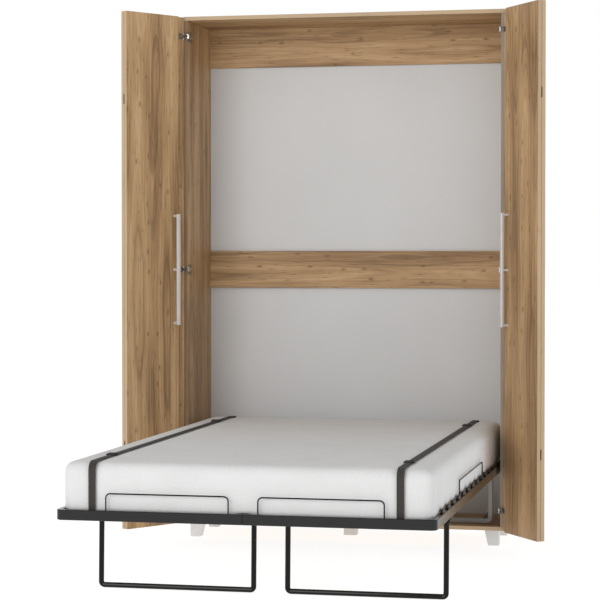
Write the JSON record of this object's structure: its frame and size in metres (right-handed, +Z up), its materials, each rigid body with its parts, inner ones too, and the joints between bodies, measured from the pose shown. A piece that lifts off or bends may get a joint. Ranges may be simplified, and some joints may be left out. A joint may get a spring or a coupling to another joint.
{
  "type": "murphy wall bed",
  "caption": "Upright oak-effect cabinet with folding doors and a slatted bed frame, with mattress and U-shaped legs, that swings down from the wall.",
  "frame": {"origin": "on the floor, at the middle of the whole object's box with the bed down", "axes": "+Z up, +Y into the wall that the cabinet stands against, +X to the right for someone facing the cabinet"},
  "size_m": [1.7044, 2.0762, 2.1566],
  "materials": {
    "oak": "wood-effect board with cathedral grain, knots and dark cracks, satin",
    "grey_board": "plain light grey coated board, matt",
    "mattress_cloth": "white woven mattress cloth, matt",
    "webbing": "dark grey woven belt",
    "black_steel": "glossy black powder coat",
    "rod_steel": "polished piston rod",
    "grey_steel": "silver-grey satin coat",
    "black_plastic": "black moulded plastic",
    "white_plastic": "off-white satin plastic",
    "handle_metal": "brushed aluminium",
    "hinge_metal": "bright nickel plate",
    "slat_wood": "pale laminated beech"
  },
  "bodies": {
    "cabinet": {"back_panel": "grey_board", "bottom_panel": "oak", "door_hinge_arm_left_lower": "hinge_metal", "door_hinge_arm_left_middle": "hinge_metal", "door_hinge_arm_left_upper": "hinge_metal", "door_hinge_arm_right_lower": "hinge_metal", "door_hinge_arm_right_middle": "hinge_metal", "door_hinge_arm_right_upper": "hinge_metal", "foot_centre": "white_plastic", "foot_front_left": "white_plastic", "foot_front_right": "white_plastic", "foot_rear_left": "white_plastic", "foot_rear_right": "white_plastic", "middle_rail": "oak", "side_panel_left": "oak", "side_panel_right": "oak", "stand_frame": "grey_steel", "stand_gusset_left": "black_plastic", "stand_gusset_right": "black_plastic", "top_panel": "oak", "top_rail": "oak"},
    "bed": {"bed_frame_left": "black_steel", "bed_frame_right": "black_steel", "front_stop_left": "black_steel", "front_stop_right": "black_steel", "mattress": "mattress_cloth", "side_stop_left": "black_steel", "side_stop_right": "black_steel", "slat_deck": "slat_wood", "strap_left": "webbing", "strap_right": "webbing"},
    "leg_left": {"leg_left": "black_steel"},
    "cylinder_left": {"gas_cylinder_left": "black_steel"},
    "rod_left": {"gas_rod_left": "rod_steel"},
    "door_left_outer_leaf": {"door_hinge_cup_left_lower": "hinge_metal", "door_hinge_cup_left_middle": "hinge_metal", "door_hinge_cup_left_upper": "hinge_metal", "door_left_outer": "oak", "fold_hinge_left_lower_outer": "hinge_metal", "fold_hinge_left_upper_outer": "hinge_metal"},
    "door_left_inner_leaf": {"door_left_inner": "oak", "fold_hinge_left_lower_inner": "hinge_metal", "fold_hinge_left_upper_inner": "hinge_metal", "handle_left": "handle_metal"},
    "leg_right": {"leg_right": "black_steel"},
    "cylinder_right": {"gas_cylinder_right": "black_steel"},
    "rod_right": {"gas_rod_right": "rod_steel"},
    "door_right_outer_leaf": {"door_hinge_cup_right_lower": "hinge_metal", "door_hinge_cup_right_middle": "hinge_metal", "door_hinge_cup_right_upper": "hinge_metal", "door_right_outer": "oak", "fold_hinge_right_lower_outer": "hinge_metal", "fold_hinge_right_upper_outer": "hinge_metal"},
    "door_right_inner_leaf": {"door_right_inner": "oak", "fold_hinge_right_lower_inner": "hinge_metal", "fold_hinge_right_upper_inner": "hinge_metal", "handle_right": "handle_metal"}
  },
  "joints": [
    {"name": "bed_lift", "type": "hinge", "parent": "cabinet", "child": "bed", "pos_m": [0, 0.74985, 0.308], "axis": [-1, 0, 0], "range_deg": [0, 90]},
    {"name": "leg_left_fold", "type": "hinge", "parent": "bed", "child": "leg_left", "pos_m": [0, -0.61715, 0.274], "axis": [1, 0, 0], "range_deg": [0, 90]},
    {"name": "cylinder_left_tilt", "type": "hinge", "parent": "cabinet", "child": "cylinder_left", "pos_m": [-0.3, 0.74985, 0.116], "axis": [-1, 0, 0], "range_deg": [0, 60]},
    {"name": "rod_left_tilt", "type": "hinge", "parent": "bed", "child": "rod_left", "pos_m": [-0.3, 0.45485, 0.302], "axis": [-1, 0, 0], "range_deg": [-35, 0]},
    {"name": "door_left_swing", "type": "hinge", "parent": "cabinet", "child": "door_left_outer_leaf", "pos_m": [-0.665, 0.64735, 1.1], "axis": [0, 0, -1], "range_deg": [-10, 20]},
    {"name": "door_left_fold", "type": "hinge", "parent": "door_left_outer_leaf", "child": "door_left_inner_leaf", "pos_m": [-0.83882, 0.38082, 1.1], "axis": [0, 0, -1], "range_deg": [0, 4]},
    {"name": "leg_right_fold", "type": "hinge", "parent": "bed", "child": "leg_right", "pos_m": [0, -0.61715, 0.274], "axis": [1, 0, 0], "range_deg": [0, 90]},
    {"name": "cylinder_right_tilt", "type": "hinge", "parent": "cabinet", "child": "cylinder_right", "pos_m": [0.3, 0.74985, 0.116], "axis": [-1, 0, 0], "range_deg": [0, 60]},
    {"name": "rod_right_tilt", "type": "hinge", "parent": "bed", "child": "rod_right", "pos_m": [0.3, 0.45485, 0.302], "axis": [-1, 0, 0], "range_deg": [-35, 0]},
    {"name": "door_right_swing", "type": "hinge", "parent": "cabinet", "child": "door_right_outer_leaf", "pos_m": [0.665, 0.64735, 1.1], "axis": [0, 0, 1], "range_deg": [-10, 20]},
    {"name": "door_right_fold", "type": "hinge", "parent": "door_right_outer_leaf", "child": "door_right_inner_leaf", "pos_m": [0.83882, 0.38082, 1.1], "axis": [0, 0, 1], "range_deg": [0, 4]}
  ],
  "couplings": [
    {"joint": "cylinder_left_tilt", "follows": "bed_lift", "ratio": 0.642},
    {"joint": "rod_left_tilt", "follows": "bed_lift", "ratio": -0.358},
    {"joint": "cylinder_right_tilt", "follows": "bed_lift", "ratio": 0.642},
    {"joint": "rod_right_tilt", "follows": "bed_lift", "ratio": -0.358}
  ]
}
